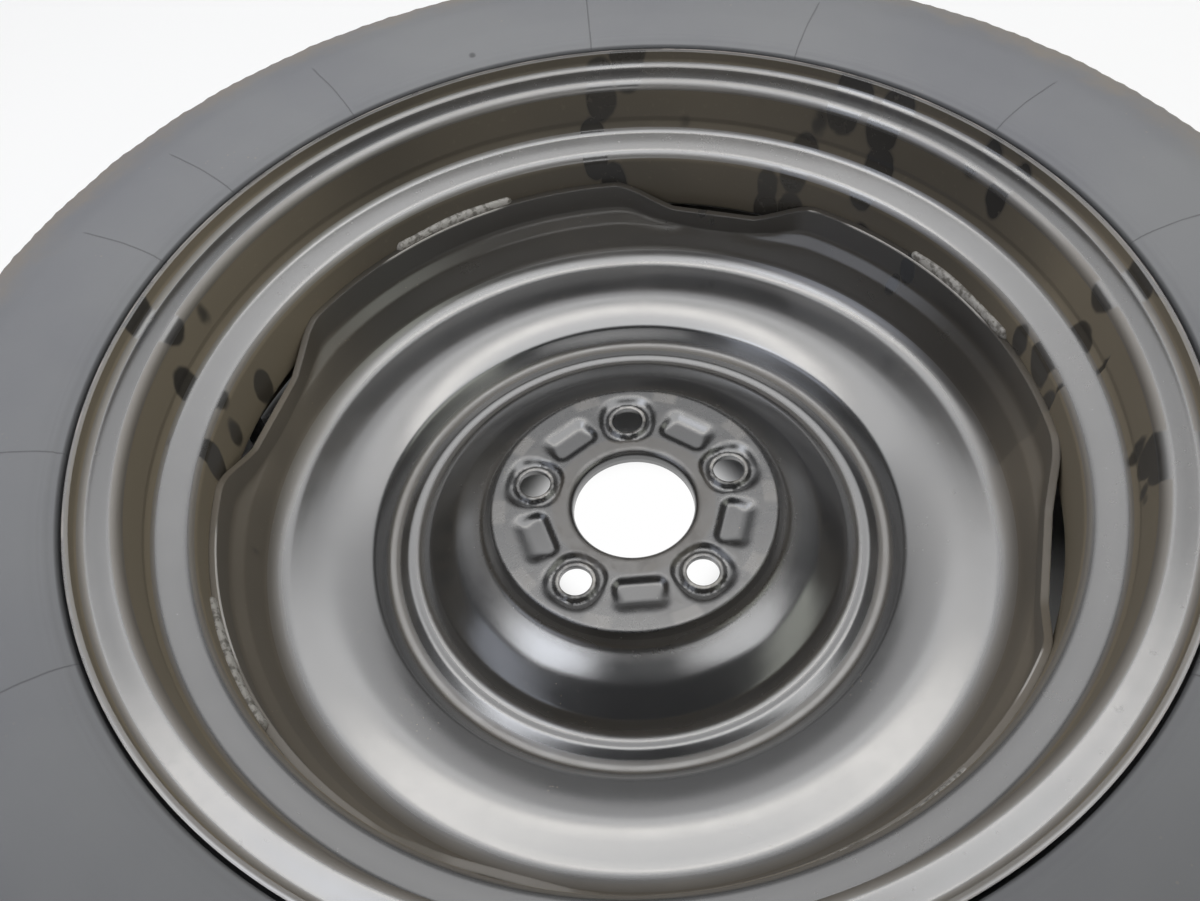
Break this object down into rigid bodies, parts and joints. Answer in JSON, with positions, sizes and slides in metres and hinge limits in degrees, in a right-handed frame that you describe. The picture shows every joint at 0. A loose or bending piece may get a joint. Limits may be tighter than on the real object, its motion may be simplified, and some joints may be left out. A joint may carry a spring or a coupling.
{
  "type": "space saver spare wheel",
  "caption": "Narrow pressed steel spare wheel with a deep disc, hub pad with lug holes and vent notches, and a slim fitted tyre with valve.",
  "frame": {"origin": "middle of the hub bore on the mounting face of the disc", "axes": "+Z along the wheel's axis towards the inboard side, which is up as the wheel lies; +Y away from the viewer of the picture"},
  "size_m": [0.682, 0.682, 0.1388],
  "materials": {
    "black_paint": "semi-gloss black paint with dust film",
    "painted_weld": "painted weld bead, slightly rough",
    "tyre_rubber": "matt grey black rubber with brown dust",
    "valve_rubber": "matt black rubber",
    "brass": "turned brass",
    "spring_steel": "drawn wire",
    "cap_plastic": "moulded black plastic"
  },
  "bodies": {
    "wheel": {"rim": "black_paint", "disc": "black_paint", "disc_welds": "painted_weld", "tyre": "tyre_rubber", "valve_stem": "valve_rubber", "valve_insert": "brass", "core_barrel": "brass", "core_seal": "valve_rubber", "core_spring": "spring_steel"},
    "pin": {"core_pin": "brass"},
    "cap_lift": {"cap_seal": "valve_rubber"},
    "cap": {"valve_cap": "cap_plastic"}
  },
  "joints": [
    {"name": "pin_push", "type": "slide", "parent": "wheel", "child": "pin", "axis": [0, 0, 1], "range_m": [0, 0.0012], "stiffness_N_per_m": 400, "springref_m": -0.002, "deforming": ["core_spring"]},
    {"name": "cap_rise", "type": "slide", "parent": "wheel", "child": "cap_lift", "axis": [0, 0, -1], "range_m": [0, 0.0095]},
    {"name": "cap_turn", "type": "hinge", "parent": "cap_lift", "child": "cap", "pos_m": [-0.20426, 0.078, -0.01], "axis": [0, 0, -1], "range_deg": [0, 4310]}
  ],
  "couplings": [
    {"joint": "cap_turn", "follows": "cap_rise", "rad_per_m": 7915.8}
  ]
}
